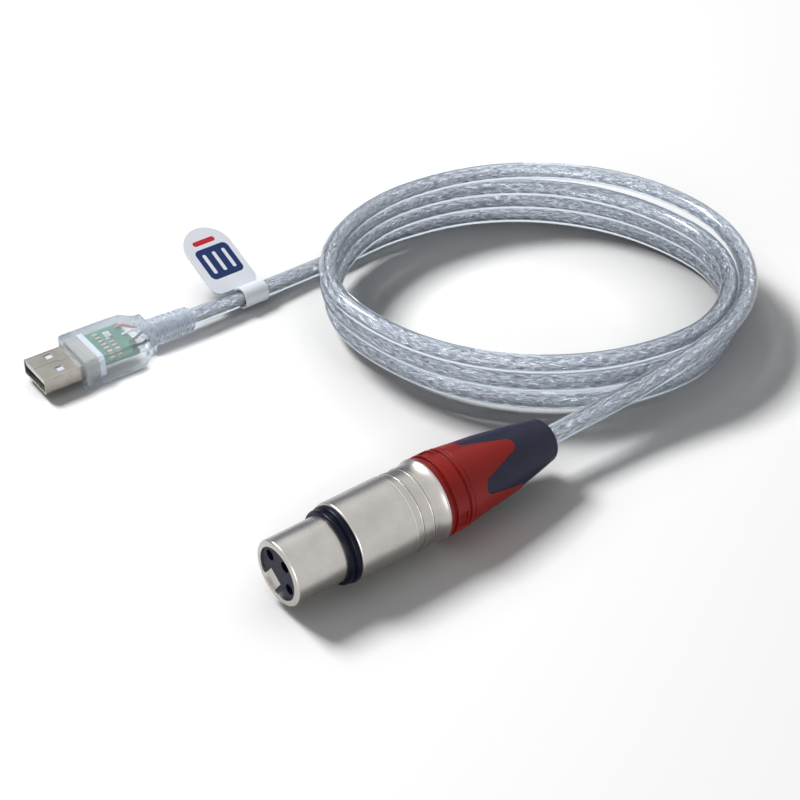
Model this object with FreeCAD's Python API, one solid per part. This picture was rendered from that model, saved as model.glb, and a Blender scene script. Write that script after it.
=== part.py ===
import FreeCAD, Part
import math
import os

from FreeCAD import Vector

# A serial lighting adapter: a flat computer plug with its circuit board in a clear case,
# a round three-pole cable socket with a screwed gland, and a braided clear cable between
# them that lies coiled.  Lengths are millimetres.
#
# X runs from the round socket's mating rim toward its cable, on the socket's axis.
# Y runs from the round socket toward the flat plug.  Z is up, and the origin is the
# centre of the mating rim.  The object lies on a flat surface.

os.makedirs("parts", exist_ok=True)

# Cable
cable_diameter = 4.8
core_radius = 0.55
core_spread = 1.15
bend_share = 0.35
chuck_clearance = 0.1
cable_radius = cable_diameter / 2

# Round socket: metal shell
nose_radius = 8.0
nose_wall = 1.5
nose_edge = 0.6
seal_start = 13.4
seal_width = 2.9
seal_seat_depth = 0.65
body_radius = 9.8
body_wall = 1.4
body_edge = 0.5
body_front_wall = 1.1
shell_end = 41.0
rear_band_width = 4.5
middle_band_width = 3.0
front_band_width = 1.8
step_depth = 0.16
waist_depth = 0.3
rim_height = 0.4
rim_flare_length = 2.4
rim_width = 0.5
key_width = 4.3
key_front = 0.55
key_length = 0.95
key_inner_radius = 2.15

nose_bore_radius = nose_radius - nose_wall
seal_end = seal_start + seal_width
seal_seat_radius = nose_radius - seal_seat_depth
body_bore_radius = body_radius - body_wall
body_bore_start = seal_end + body_front_wall
third_step = shell_end - rear_band_width
second_step = third_step - middle_band_width
first_step = second_step - front_band_width
waist_radius = body_radius - waist_depth
rim_radius = body_radius + rim_height
rim_flare = rim_radius - waist_radius
rim_start = shell_end - rim_width - rim_flare_length
key_back = key_front + key_length
floor_z = -rim_radius

# Round socket: front seal ring
seal_thickness = 1.35
front_ridge_height = 0.4
rear_ridge_height = 0.7
seal_groove_width = 0.25
seal_edge = 0.3

seal_groove_radius = seal_seat_radius + seal_thickness
front_ridge_radius = seal_groove_radius + front_ridge_height
rear_ridge_radius = seal_groove_radius + rear_ridge_height

# Round socket: latch lever, its pin and its leaf spring
latch_angle = -54.0
lever_gap = 0.4
lever_width = 3.8
lever_thickness = 1.5
lever_sink = 0.5
hook_front = 4.9
hook_length = 2.3
hook_ramp = 1.0
hook_height = 0.7
hook_room = 0.5
tab_front = 20.2
tab_length = 5.8
tab_height = 1.1
tab_chamfer = 0.6
tab_room = 0.6
side_room = 0.3
pin_reach = 4.0
pin_depth = 0.7
pin_radius = 0.6
pin_clearance = 0.06
eye_radius = 1.25

lever_front = key_back + lever_gap
lever_top_radius = nose_bore_radius - lever_sink
lever_bottom_radius = lever_top_radius - lever_thickness
hook_back = hook_front + hook_length
tab_back = tab_front + tab_length
pin_x = tab_back + pin_reach
pin_circle_radius = lever_top_radius - pin_depth

# Round socket: insert, contacts and their places round the axis
insert_recess = 1.8
insert_clearance = 0.05
insert_flange_width = 3.6
insert_tail_length = 3.0
insert_tail_step = 1.4
channel_width = 4.4
channel_floor_radius = 2.1
contact_rim_gap = 0.5
contact_radius = 1.6
contact_bore_radius = 1.22
contact_entry_radius = 1.35
contact_front = 2.5
contact_bore_depth = 11.5
cup_reach = 4.5
cup_bore_radius = 1.05
cup_bore_length = 3.6
contact_angles = (100.0, -100.0, 180.0)
ear_width = 1.2
ear_gap = 0.3
ear_overhang = 1.6
ear_bottom_radius = 3.7
ear_sink = 1.5

contact_circle_radius = nose_bore_radius - contact_radius - contact_rim_gap
flange_end = body_bore_start + insert_flange_width
insert_end = flange_end + insert_tail_length
insert_tail_radius = body_bore_radius - insert_tail_step
contact_bore_end = contact_front + contact_bore_depth
cup_end = insert_end + cup_reach
ear_end = pin_x + ear_overhang
ear_top_radius = body_bore_radius - ear_sink

spring_foot = 3.6
spring_flat = 2.2
spring_rise_length = 4.8
spring_thickness = 0.3
spring_width = 3.0
spring_gap = 0.28

spring_root = insert_end - spring_foot
spring_bend = spring_root + spring_flat
spring_tip = spring_bend + spring_rise_length

# Round socket: red gland nut with four tongues
nut_gap = 0.15
spigot_length = 5.4
spigot_clearance = 0.1
spigot_wall = 1.0
nut_bore_taper = 1.1
flange_height = 0.3
flange_width = 0.85
front_groove_width = 1.0
front_groove_depth = 0.75
band_width = 3.4
rear_groove_width = 0.8
rear_groove_depth = 0.7
thin_ring_width = 0.95
thin_ring_drop = 0.2
hair_groove_width = 0.4
hair_groove_depth = 0.3
skirt_drop = 0.15
skirt_wall = 1.2
skirt_length = 3.95
skirt_taper = 1.82
tongue_length = 12.3
tongue_tip_half_width = 1.9
tongue_root_half_width = 4.6
tongue_root_round = 2.2
tongue_count = 4
tongue_angle = 115.0
pocket_count = 3
pocket_angle = 66.0
pocket_width = 4.0
pocket_length = 2.4
pocket_depth = 0.5

spigot_front = shell_end - spigot_length
spigot_radius = body_bore_radius - spigot_clearance
nut_bore_front_radius = spigot_radius - spigot_wall
nut_bore_back_radius = nut_bore_front_radius - nut_bore_taper
nut_front = shell_end + nut_gap
band_middle = nut_front + flange_width + front_groove_width + band_width / 2
nut_ring_end = band_middle + band_width / 2 + rear_groove_width + thin_ring_width + hair_groove_width
band_radius = body_radius + flange_height
front_groove_radius = band_radius - front_groove_depth
rear_groove_radius = band_radius - rear_groove_depth
thin_ring_radius = band_radius - thin_ring_drop
hair_groove_radius = thin_ring_radius - hair_groove_depth
skirt_front_radius = thin_ring_radius - skirt_drop
tongue_root = nut_ring_end + skirt_length
tongue_tip = tongue_root + tongue_length
tongue_tip_radius = skirt_front_radius - skirt_taper

# Round socket: cable chuck, and where the cable's jacket ends in it
chuck_lead = 0.8
chuck_length = 13.0
chuck_wall_gap = 0.12
chuck_flare_length = 1.6
chuck_flare = 2.2
slit_width = 0.9
slit_setback = 3.6
slit_count = 4
jacket_stand = 0.3

chuck_front = spigot_front - chuck_lead
chuck_back = chuck_front + chuck_length
chuck_flare_radius = cable_radius + chuck_flare
slit_start = chuck_front + slit_setback
cable_strip_x = chuck_front - jacket_stand

# Round socket: rubber boot
boot_reach = 13.2
boot_nose_length = 1.6
boot_sink = 0.35
boot_tip_sink = 0.25
boot_shoulder_wall = 3.15
boot_end_wall = 1.5
boot_clearance = 0.25

boot_end = tongue_tip + boot_reach
boot_shoulder = boot_end - boot_nose_length
boot_front_radius = skirt_front_radius - boot_sink
boot_middle_radius = tongue_tip_radius - boot_tip_sink
boot_shoulder_radius = cable_radius + boot_shoulder_wall
boot_end_radius = cable_radius + boot_end_wall

# Coil: middle, reach of each side, where each side's furthest point lies, and how the
# later turns draw in or stand out
coil_centre_x = 122.8
coil_centre_y = 53.4
coil_back_reach = 51.9
coil_right_reach = 49.7
coil_front_reach = 48.8
coil_left_reach = 54.4
coil_back_skew = 9.3
coil_right_skew = 9.4
coil_front_skew = 6.1
coil_left_skew = 8.6
back_draw_in = 1.5
right_draw_in = 1.5
left_stand_out = 0.8
climb_shares = (0.04, 0.1, 0.1, 1.16)
coil_quarter_count = 14
last_right_stand_out = 0.5
last_right_drop = 0.5
coil_leave_y = -0.9
coil_leave_height = 15.6
coil_leave_slope_share = 0.2
turn_gap = 0.6
turn_pitch = cable_diameter + turn_gap

# Free stretches of cable: straight out of each plug as far as the straight x, straight up to
# the coil along its lead, and past one place by hand on the flat plug's side
plug_straight_x = 53.0
plug_bend = (76.0, 104.4, -7.0)
plug_side_lead = 14.3
socket_straight_x = 90.0
socket_side_lead = 15.0

# Flat plug: steel shell
plug_x = -3.2
plug_y = 105.0
plug_turn = -2.0
plug_width = 12.0
plug_height = 4.5
plug_length = 15.4
plug_reach = 10.7
plug_wall = 0.3
plug_corner = 0.55
window_front = 4.85
window_length = 1.9
window_width = 2.1
window_offset = 3.2

# Flat plug: white tongue, contact strips and carrier
tongue_inset = 0.45
tongue_bottom = 0.1
tongue_block_cover = 1.4
strip_thickness = 0.2
strip_width = 1.0
strip_inner_offset = 1.0
strip_outer_offset = 3.5
strip_outer_inset = 1.2
strip_inner_inset = 2.2
strip_tail = 2.2
carrier_length = 1.5
carrier_side = 0.3
carrier_cover = 0.35
carrier_corner = 0.8

carrier_front = plug_x + plug_length
carrier_back = carrier_front + carrier_length
carrier_width = plug_width + 2 * carrier_side
carrier_height = plug_height + 2 * carrier_cover

# Flat plug: strain relief
relief_length = 12.6
relief_front_wall = 1.5
relief_end_wall = 1.0
relief_neck_wall = 0.7
relief_anchor_lip = 0.5
relief_anchor_length = 1.1
relief_bore_gap = 0.05
rib_count = 8
rib_depth = 0.55
rib_land_share = 0.55

relief_front_radius = cable_radius + relief_front_wall
relief_end_radius = cable_radius + relief_end_wall
relief_neck_radius = cable_radius + relief_neck_wall
relief_anchor_radius = relief_neck_radius + relief_anchor_lip

# Flat plug: clear case round the board
board_length = 10.3
board_thickness = 1.0
board_side_gap = 0.9
board_end_gap = 0.4
case_room_gap = 0.2
case_side_cover = 1.8
case_corner = 1.9
case_neck_length = 4.3
case_neck_cover = 0.5
case_collar_length = 1.5
case_round = 1.4
case_wall = 1.5
case_side_wall = 1.2
case_front_wall = 1.8
case_rear_wall = 1.7
jacket_inset = 0.1

case_height = carrier_height + 2 * (case_wall + case_room_gap)
plug_z = floor_z + case_height / 2
board_end = carrier_back + board_length
board_bottom = plug_z + tongue_bottom
board_top = board_bottom + board_thickness
case_front = plug_x + plug_reach
case_half_width = plug_width / 2 + case_side_cover
case_shoulder = board_end + board_end_gap
case_neck_x = case_shoulder + case_neck_length
case_neck_half_width = relief_front_radius + case_neck_cover
case_end = case_neck_x + case_collar_length
relief_end = case_end + relief_length
plug_strip_x = case_end - case_rear_wall - jacket_inset
board_width = 2 * (case_half_width - case_side_wall - board_side_gap)

# Flat plug: what is on the board
post_radius = 0.7
post_inset_x = 2.2
post_inset_y = 1.0
chip_gap = 0.2
controller_size = 4.6
controller_height = 0.9
driver_length = 3.2
driver_width = 4.0
driver_height = 1.1
driver_y = -1.6
crystal_length = 1.6
crystal_width = 2.5
crystal_height = 0.7
crystal_x = 5.6
crystal_y = 2.4
chip_part_length = 1.3
chip_part_width = 0.8
chip_part_height = 0.55
chip_part_near_edge = 1.1
chip_part_far_edge = 1.8
chip_part_columns = (2.7, 4.9)
chip_part_counts = (6, 4)
board_wire_count = 3
board_wire_radius = 0.42
board_wire_lead = 0.9
board_wire_end = 1.6
board_wire_rise = 0.5

driver_x = board_length - driver_length / 2
controller_x = driver_x - driver_length / 2 - chip_gap - controller_size / 2
chip_part_y = chip_part_near_edge - board_width / 2
chip_part_pitch = (board_width - chip_part_near_edge - chip_part_far_edge) / (max(chip_part_counts) - 1)
board_wire_pitch = board_width / board_wire_count

# Cable tag
tag_x = 62.9
tag_ring_length = 7.6
tag_ring_wall = 0.5
tag_ring_gap = 0.1
tag_thickness = 0.6
tag_width = 14.8
tag_length = 25.0
tag_near_edge = 3.2
tag_near_corner = 2.6
tag_side_step = -2.6
tag_angle = 26.0

# Shares: an arc's cut on its shorter run, and a quarter arc's middle on its radius
cut_share = 0.45
bulge_share = 1 - math.sqrt(0.5)

overrun = 1.0
x_axis = Vector(1, 0, 0)


def box(x0, x1, y0, y1, z0, z1):
    return Part.makeBox(x1 - x0, y1 - y0, z1 - z0, Vector(x0, y0, z0))


def bar_x(x0, x1, radius, y=0.0, z=0.0):
    return Part.makeCylinder(radius, x1 - x0, Vector(x0, y, z), x_axis)


def on_circle(angle, radius):
    return radius * math.cos(math.radians(angle)), radius * math.sin(math.radians(angle))


def outline(start, steps):
    """Closed wire in XZ.  A step is the next point, or an arc's middle and end."""
    edges = []
    here = Vector(start[0], 0, start[1])
    for step in steps + [start]:
        if isinstance(step[0], tuple):
            middle = Vector(step[0][0], 0, step[0][1])
            there = Vector(step[1][0], 0, step[1][1])
            edges.append(Part.Arc(here, middle, there).toShape())
        else:
            there = Vector(step[0], 0, step[1])
            edges.append(Part.LineSegment(here, there).toShape())
        here = there
    return Part.Wire(edges)


def turned(start, steps):
    """Solid of revolution about X from a half section in x and radius."""
    return Part.Face(outline(start, steps)).revolve(Vector(), x_axis, 360)


def slab(start, steps, width):
    """Side outline in x and radius, width wide across the middle plane."""
    face = Part.Face(outline(start, steps))
    face.translate(Vector(0, -width / 2, 0))
    return face.extrude(Vector(0, width, 0))


def at_latch(shape):
    """Turn a shape built straight up so that up becomes the latch's side."""
    shape.rotate(Vector(), x_axis, latch_angle - 90)
    return shape


def cross_bar(radius, length):
    """Cylinder on the latch pin's axis, before it is turned to the latch's side."""
    end = Vector(pin_x, -length / 2, pin_circle_radius)
    return Part.makeCylinder(radius, length, end, Vector(0, 1, 0))


def rounded_bar(x0, x1, width, height, corner):
    bar = box(x0, x1, plug_y - width / 2, plug_y + width / 2, plug_z - height / 2, plug_z + height / 2)
    edges = [e for e in bar.Edges if e.BoundBox.XLength > (x1 - x0) / 2]
    return bar.makeFillet(corner, edges)


def arc_from(start, heading, end):
    """Arc that leaves start along heading and reaches end, with its radius."""
    chord = end - start
    length = chord.Length
    along = chord / length
    side = heading - along * heading.dot(along)
    half_turn = math.atan2(side.Length, heading.dot(along))
    side.normalize()
    middle = (start + end) / 2 + side * (length / 2 * math.tan(half_turn / 2))
    return Part.Arc(start, middle, end), length / (2 * math.sin(half_turn))


def biarc(start, heading, end, end_heading):
    """Two arcs that join tangentially, with their radii."""
    chord = end - start
    both = heading + end_heading
    square = 2 * (1 - heading.dot(end_heading))
    linear = 2 * chord.dot(both)
    reach = (math.sqrt(linear ** 2 + 4 * square * chord.dot(chord)) - linear) / (2 * square)
    joint = (start + heading * reach + end - end_heading * reach) / 2
    joint_heading = (end - end_heading * reach) - (start + heading * reach)
    joint_heading.normalize()
    first, first_radius = arc_from(start, heading, joint)
    second, second_radius = arc_from(joint, joint_heading, end)
    return [first, second], [first_radius, second_radius]


def tube_on(edges, start, heading, radius):
    """Unbroken solid tube on joined edges."""
    path = Part.Wire([e.toShape() for e in edges])
    ring = Part.Wire([Part.Circle(start, heading, radius).toShape()])
    return path.makePipeShell([ring], True, False)


def bent_path(points):
    """Straight runs joined by tangent arcs as large as the runs allow."""
    edges = []
    radii = []
    here = points[0]
    for before, corner, after in zip(points, points[1:], points[2:]):
        back = before - corner
        ahead = after - corner
        shorter = min(back.Length, ahead.Length)
        back.normalize()
        ahead.normalize()
        half_turn = (math.pi - back.getAngle(ahead)) / 2
        cut = cut_share * shorter
        radii.append(cut / math.tan(half_turn))
        arc_start = corner + back * cut
        arc_end = corner + ahead * cut
        edges.append(Part.LineSegment(here, arc_start))
        edges.append(arc_from(arc_start, back * -1, arc_end)[0])
        here = arc_end
    edges.append(Part.LineSegment(here, points[-1]))
    return edges, radii


def bent_tube(points, radius):
    edges = bent_path(points)[0]
    return tube_on(edges, points[0], points[1] - points[0], radius)


def drilled(body, places, radius, x0, x1):
    for y, z in places:
        body = body.cut(bar_x(x0, x1, radius, y, z))
    return body


def contact_places():
    return [on_circle(latch_angle + a, contact_circle_radius) for a in contact_angles]


# Round socket

def connector_shell():
    nose_bulge = nose_edge * bulge_share
    body_bulge = body_edge * bulge_share
    rim_middle = rim_start + rim_flare_length / 2
    shell = turned((0, nose_bore_radius), [
        (0, nose_radius - nose_edge),
        ((nose_bulge, nose_radius - nose_bulge), (nose_edge, nose_radius)),
        (seal_start, nose_radius),
        (seal_start, seal_seat_radius),
        (seal_end, seal_seat_radius),
        (seal_end, body_radius - body_edge),
        ((seal_end + body_bulge, body_radius - body_bulge), (seal_end + body_edge, body_radius)),
        (first_step, body_radius),
        (first_step, body_radius - step_depth),
        (second_step, waist_radius),
        (second_step, waist_radius + step_depth),
        (third_step, waist_radius),
        (third_step, waist_radius + step_depth),
        (rim_start, waist_radius),
        ((rim_middle, waist_radius + rim_flare / 4), (shell_end - rim_width, rim_radius)),
        (shell_end, rim_radius),
        (shell_end, body_bore_radius),
        (body_bore_start, body_bore_radius),
        (body_bore_start, nose_bore_radius),
    ])
    half_key = key_width / 2
    key_root = nose_bore_radius + nose_edge
    key = at_latch(box(key_front, key_back, -half_key, half_key, key_inner_radius, key_root))
    half_lever = lever_width / 2 + side_room
    hook_window = box(hook_front - hook_room, hook_back + hook_room, -half_lever, half_lever,
                      lever_bottom_radius, nose_radius + overrun)
    tab_slot = box(tab_front - tab_room, tab_back + tab_room, -half_lever, half_lever,
                   nose_bore_radius, body_radius + overrun)
    shell = shell.cut(at_latch(hook_window)).cut(at_latch(tab_slot))
    return shell.fuse(key).removeSplitter()


def nose_seal():
    """Rubber ring with two rounded ridges and a narrow groove between them."""
    groove_start = (seal_start + seal_end - seal_groove_width) / 2
    groove_end = groove_start + seal_groove_width
    front_middle = (seal_start + groove_start) / 2
    rear_middle = (groove_end + seal_end) / 2
    return turned((seal_start, seal_seat_radius), [
        (seal_start, seal_groove_radius),
        ((front_middle, front_ridge_radius), (groove_start, seal_groove_radius)),
        (groove_end, seal_groove_radius),
        ((rear_middle, rear_ridge_radius), (seal_end, rear_ridge_radius - seal_edge)),
        (seal_end, seal_seat_radius),
    ])


def contact_insert():
    front_radius = nose_bore_radius - insert_clearance
    flange = body_bore_radius - insert_clearance
    body = turned((insert_recess, 0), [
        (insert_recess, front_radius),
        (body_bore_start, front_radius),
        (body_bore_start, flange),
        (flange_end, flange),
        (flange_end, insert_tail_radius),
        (insert_end, insert_tail_radius),
        (insert_end, 0),
    ])
    half_channel = channel_width / 2
    channel = box(0, insert_end + overrun, -half_channel, half_channel,
                  channel_floor_radius, body_bore_radius + overrun)
    body = body.cut(at_latch(channel))
    places = contact_places()
    body = drilled(body, places, contact_entry_radius, 0, contact_front)
    body = drilled(body, places, contact_radius, contact_front, insert_end + overrun)
    inner = half_channel + ear_gap
    outer = inner + ear_width
    for low, high in ((-outer, -inner), (inner, outer)):
        ear = box(flange_end, ear_end, low, high, ear_bottom_radius, ear_top_radius)
        body = body.fuse(at_latch(ear))
    return body.cut(at_latch(cross_bar(pin_radius, 2 * outer + 2 * overrun))).removeSplitter()


def contact_socket(place):
    """Tubular contact with a blind bore in front and an open solder cup behind."""
    y, z = place
    contact = bar_x(contact_front, cup_end, contact_radius, y, z)
    contact = contact.cut(bar_x(contact_front, contact_bore_end, contact_bore_radius, y, z))
    cup = bar_x(cup_end - cup_bore_length, cup_end, cup_bore_radius, y, z)
    return contact.cut(cup)


def latch_lever():
    hook_top = nose_radius + hook_height
    tab_top = body_radius + tab_height
    eye_top = pin_circle_radius + eye_radius
    eye_bottom = pin_circle_radius - eye_radius
    side = slab((lever_front, lever_bottom_radius), [
        (lever_front, lever_top_radius),
        (hook_front, lever_top_radius),
        (hook_front + hook_ramp, hook_top),
        (hook_back, hook_top),
        (hook_back, lever_top_radius),
        (tab_front, lever_top_radius),
        (tab_front, tab_top - tab_chamfer),
        (tab_front + tab_chamfer, tab_top),
        (tab_back - tab_chamfer, tab_top),
        (tab_back, tab_top - tab_chamfer),
        (tab_back, lever_top_radius),
        (pin_x, eye_top),
        ((pin_x + eye_radius, pin_circle_radius), (pin_x, eye_bottom)),
        (tab_back, lever_bottom_radius),
    ], lever_width)
    return at_latch(side.cut(cross_bar(pin_radius + pin_clearance, lever_width + 2 * overrun)))


def latch_pin():
    return at_latch(cross_bar(pin_radius, channel_width + 2 * (ear_gap + ear_width)))


def latch_spring():
    top = lever_bottom_radius - spring_gap
    floor = channel_floor_radius
    spring = slab((spring_root, floor), [
        (spring_root, floor + spring_thickness),
        (spring_bend, floor + spring_thickness),
        (spring_tip - spring_thickness, top),
        (spring_tip, top - spring_thickness),
        (spring_bend + spring_thickness / 2, floor),
    ], spring_width)
    return at_latch(spring)


def chuck_radius(x):
    """Outer radius of the chuck, which follows the gland nut's tapered bore."""
    share = (x - spigot_front) / (nut_ring_end - spigot_front)
    return nut_bore_front_radius + (nut_bore_back_radius - nut_bore_front_radius) * share - chuck_wall_gap


def cable_chuck():
    bore = cable_radius + chuck_clearance
    chuck = turned((chuck_front, chuck_flare_radius), [
        (chuck_front, chuck_radius(spigot_front)),
        (spigot_front, chuck_radius(spigot_front)),
        (chuck_back, chuck_radius(chuck_back)),
        (chuck_back, bore),
        (chuck_front + chuck_flare_length, bore),
    ])
    for i in range(slit_count):
        slit = box(slit_start, chuck_back + overrun, -slit_width / 2, slit_width / 2, 0,
                   nut_bore_front_radius)
        slit.rotate(Vector(), x_axis, 360 * i / slit_count)
        chuck = chuck.cut(slit)
    return chuck


def skirt_radius(x):
    share = (x - nut_ring_end) / (tongue_tip - nut_ring_end)
    return skirt_front_radius + (tongue_tip_radius - skirt_front_radius) * share


def tongue_blank():
    """Plan outline of one tongue, straight up, wide at its root and round at its tip."""
    flare = tongue_root_half_width + tongue_root_round
    turn = tongue_root_round * bulge_share
    straight_end = tongue_tip - tongue_tip_half_width
    root_end = tongue_root + tongue_root_round
    half = [
        (tongue_root - overrun, flare),
        (tongue_root, flare),
        ((tongue_root + turn, tongue_root_half_width + turn), (root_end, tongue_root_half_width)),
        (straight_end, tongue_tip_half_width),
        ((tongue_tip, 0), (straight_end, -tongue_tip_half_width)),
        (root_end, -tongue_root_half_width),
        ((tongue_root + turn, -tongue_root_half_width - turn), (tongue_root, -flare)),
        (tongue_root - overrun, -flare),
    ]
    blank = Part.Face(outline(half[0], half[1:])).extrude(Vector(0, band_radius, 0))
    blank.rotate(Vector(), x_axis, 90)
    return blank


def gland_nut():
    x = nut_front
    profile = [(spigot_front, spigot_radius), (x, spigot_radius)]
    rings = (
        (flange_width, band_radius),
        (front_groove_width, front_groove_radius),
        (band_width, band_radius),
        (rear_groove_width, rear_groove_radius),
        (thin_ring_width, thin_ring_radius),
        (hair_groove_width, hair_groove_radius),
    )
    for width, radius in rings:
        profile += [(x, radius), (x + width, radius)]
        x += width
    root = tongue_root
    profile += [
        (x, skirt_front_radius),
        (root, skirt_radius(root)),
        (root, skirt_radius(root) - skirt_wall),
        (x, skirt_front_radius - skirt_wall),
        (x, nut_bore_back_radius),
    ]
    nut = turned((spigot_front, nut_bore_front_radius), profile)
    cone = turned((root - overrun, skirt_radius(root - overrun) - skirt_wall), [
        (root - overrun, skirt_radius(root - overrun)),
        (tongue_tip, skirt_radius(tongue_tip)),
        (tongue_tip, skirt_radius(tongue_tip) - skirt_wall),
    ])
    blank = tongue_blank()
    for i in range(tongue_count):
        tongue = cone.common(blank)
        tongue.rotate(Vector(), x_axis, tongue_angle - 90 + 360 * i / tongue_count)
        nut = nut.fuse(tongue)
    pocket_start = band_middle - pocket_length / 2
    for i in range(pocket_count):
        pocket = box(pocket_start, pocket_start + pocket_length, -pocket_width / 2, pocket_width / 2,
                     band_radius - pocket_depth, band_radius + overrun)
        pocket.rotate(Vector(), x_axis, pocket_angle - 90 + 360 * i / pocket_count)
        nut = nut.cut(pocket)
    return nut.removeSplitter()


def gland_boot(nut):
    """Rubber sleeve that fills the nut's skirt, shows between the tongues and tapers to the cable."""
    front = nut_ring_end
    bulge = (boot_end - boot_shoulder) * bulge_share
    sleeve = turned((front, cable_radius + boot_clearance), [
        (front, boot_front_radius),
        ((tongue_tip, boot_middle_radius), (boot_shoulder, boot_shoulder_radius)),
        ((boot_end - bulge, boot_shoulder_radius - bulge), (boot_end, boot_end_radius)),
        (boot_end, cable_radius + boot_clearance),
    ])
    return sleeve.cut(nut)


def socket_cores():
    """Three cores from the stripped cable end to the solder cups."""
    cores = []
    for y, z in contact_places():
        away = Vector(0, y, z)
        away.normalize()
        start = away * core_spread + Vector(cable_strip_x, 0, 0)
        cup = Vector(cup_end - cup_bore_length, y, z)
        cup_mouth = Vector(cup_end + core_radius, y, z)
        bend = start - x_axis * (cable_strip_x - cup_end) * bend_share
        cores.append(bent_tube([start, bend, cup_mouth, cup], core_radius))
    return cores


# Cable

def coil_knot(number):
    """Place and plan heading of the coil's outermost point on one of its four sides."""
    turn, side = divmod(number, 4)
    z = floor_z + cable_radius + turn_pitch * (turn + climb_shares[side])
    if side == 0:
        y = coil_centre_y + coil_back_reach - back_draw_in * turn
        return Vector(coil_centre_x - coil_back_skew, y, z), Vector(1, 0, 0)
    if side == 1:
        x = coil_centre_x + coil_right_reach - right_draw_in * turn
        return Vector(x, coil_centre_y - coil_right_skew, z), Vector(0, -1, 0)
    if side == 2:
        y = coil_centre_y - coil_front_reach
        return Vector(coil_centre_x + coil_front_skew, y, z), Vector(-1, 0, 0)
    x = coil_centre_x - coil_left_reach - left_stand_out * turn
    return Vector(x, coil_centre_y + coil_left_skew, z), Vector(0, 1, 0)


def coil_knots():
    """All the knots: the last turn stands out on the right and comes down toward the socket."""
    knots = [coil_knot(i) for i in range(coil_quarter_count + 1)]
    last_right, heading = knots[-2]
    x = coil_centre_x + coil_right_reach + last_right_stand_out
    knots[-2] = Vector(x, last_right.y, last_right.z - last_right_drop), heading
    leave = Vector(knots[-1][0].x, coil_leave_y, floor_z + coil_leave_height)
    knots[-1] = leave, Vector(-1, 0, -coil_leave_slope_share)
    places = [k[0] for k in knots]
    headings = [knots[0][1]]
    for i in range(1, coil_quarter_count):
        reach = places[i + 1].distanceToPoint(places[i]) + places[i].distanceToPoint(places[i - 1])
        slope = (places[i + 1].z - places[i - 1].z) / reach
        headings.append((knots[i][1] + Vector(0, 0, slope)).normalize())
    headings.append(knots[-1][1].normalize())
    return places, headings


def coil_path():
    """The coil's centre line with straight ends of one diameter, and both ends' headings."""
    places, headings = coil_knots()
    start = places[0] - headings[0] * cable_diameter
    end = places[-1] + headings[-1] * cable_diameter
    edges = [Part.LineSegment(start, places[0])]
    radii = []
    for i in range(coil_quarter_count):
        arcs, arc_radii = biarc(places[i], headings[i], places[i + 1], headings[i + 1])
        edges += arcs
        radii += arc_radii
    edges.append(Part.LineSegment(places[-1], end))
    print("coil: smallest radius %.1f" % min(radii))
    return edges, (start, headings[0]), (end, headings[-1])


def least_gap(edges):
    """Least clear distance between turns, measured on points along the centre line."""
    step = cable_diameter / 2
    points = []
    for edge in edges:
        shape = edge.toShape()
        points += shape.discretize(Number=max(2, int(shape.Length / step)))[:-1]
    apart = int(4 * cable_diameter / step)
    least = min(
        p.distanceToPoint(q)
        for i, p in enumerate(points)
        for q in points[i + apart:]
    )
    return least - cable_diameter


def tell_volume(name, edges, tube):
    """Print how the tube's volume compares with its section times its length."""
    length = sum(e.length() for e in edges)
    share = tube.Volume / (math.pi * cable_radius ** 2 * length)
    print("%s: length %.1f, volume share %.4f" % (name, length, share))


def cable_coil():
    edges, start, end = coil_path()
    tube = tube_on(edges, *start, cable_radius)
    print("coil: least gap to itself %.2f" % least_gap(edges))
    tell_volume("coil", edges, tube)
    return tube, start, end


def cable_stretch(name, points):
    edges, radii = bent_path(points)
    tube = tube_on(edges, points[0], points[1] - points[0], cable_radius)
    print(name + ": radii " + " ".join("%.0f" % r for r in radii))
    tell_volume(name, edges, tube)
    return tube


def cable_usb_end(coil_start):
    place, heading = coil_start
    straight = [on_plug_axis(plug_strip_x), on_plug_axis(plug_straight_x)]
    route = straight + [Vector(*plug_bend), place - heading * plug_side_lead, place]
    return cable_stretch("plug stretch", route)


def cable_xlr_end(coil_end):
    place, heading = coil_end
    straight = [Vector(socket_straight_x, 0, 0), Vector(cable_strip_x, 0, 0)]
    route = [place, place + heading * socket_side_lead] + straight
    return cable_stretch("socket stretch", route)


# Flat plug

def on_plug_axis(x):
    """Point of the plug's axis, x counted along it, with the plug in its turned place."""
    front = Vector(plug_x, plug_y, plug_z)
    return front + FreeCAD.Rotation(Vector(0, 0, 1), plug_turn) * Vector(x - plug_x, 0, 0)


def plug_placed(shape):
    """Turn a plug piece, or a list of them, with the whole plug about its front."""
    for solid in shape if isinstance(shape, list) else [shape]:
        solid.rotate(Vector(plug_x, plug_y, plug_z), Vector(0, 0, 1), plug_turn)
    return shape


def usb_shell():
    shell = rounded_bar(plug_x, carrier_front, plug_width, plug_height, plug_corner)
    inner = rounded_bar(plug_x - overrun, carrier_front + overrun, plug_width - 2 * plug_wall,
                        plug_height - 2 * plug_wall, plug_corner - plug_wall)
    shell = shell.cut(inner)
    x0 = plug_x + window_front
    for offset in (-window_offset, window_offset):
        for top in (0, 1):
            z0 = plug_z if top else plug_z - plug_height
            window = box(x0, x0 + window_length, plug_y + offset - window_width / 2,
                         plug_y + offset + window_width / 2, z0, z0 + plug_height)
            shell = shell.cut(window)
    return shell


def strips():
    """The four contact strips under the tongue, with tails that reach under the board."""
    made = []
    tail = carrier_back + strip_tail
    top = board_bottom
    pair = ((strip_inner_offset, strip_inner_inset), (strip_outer_offset, strip_outer_inset))
    for side in (-1, 1):
        for offset, inset in pair:
            near = plug_y + side * offset - strip_width / 2
            made.append(box(plug_x + inset, tail, near, near + strip_width, top - strip_thickness, top))
    return made


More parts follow.
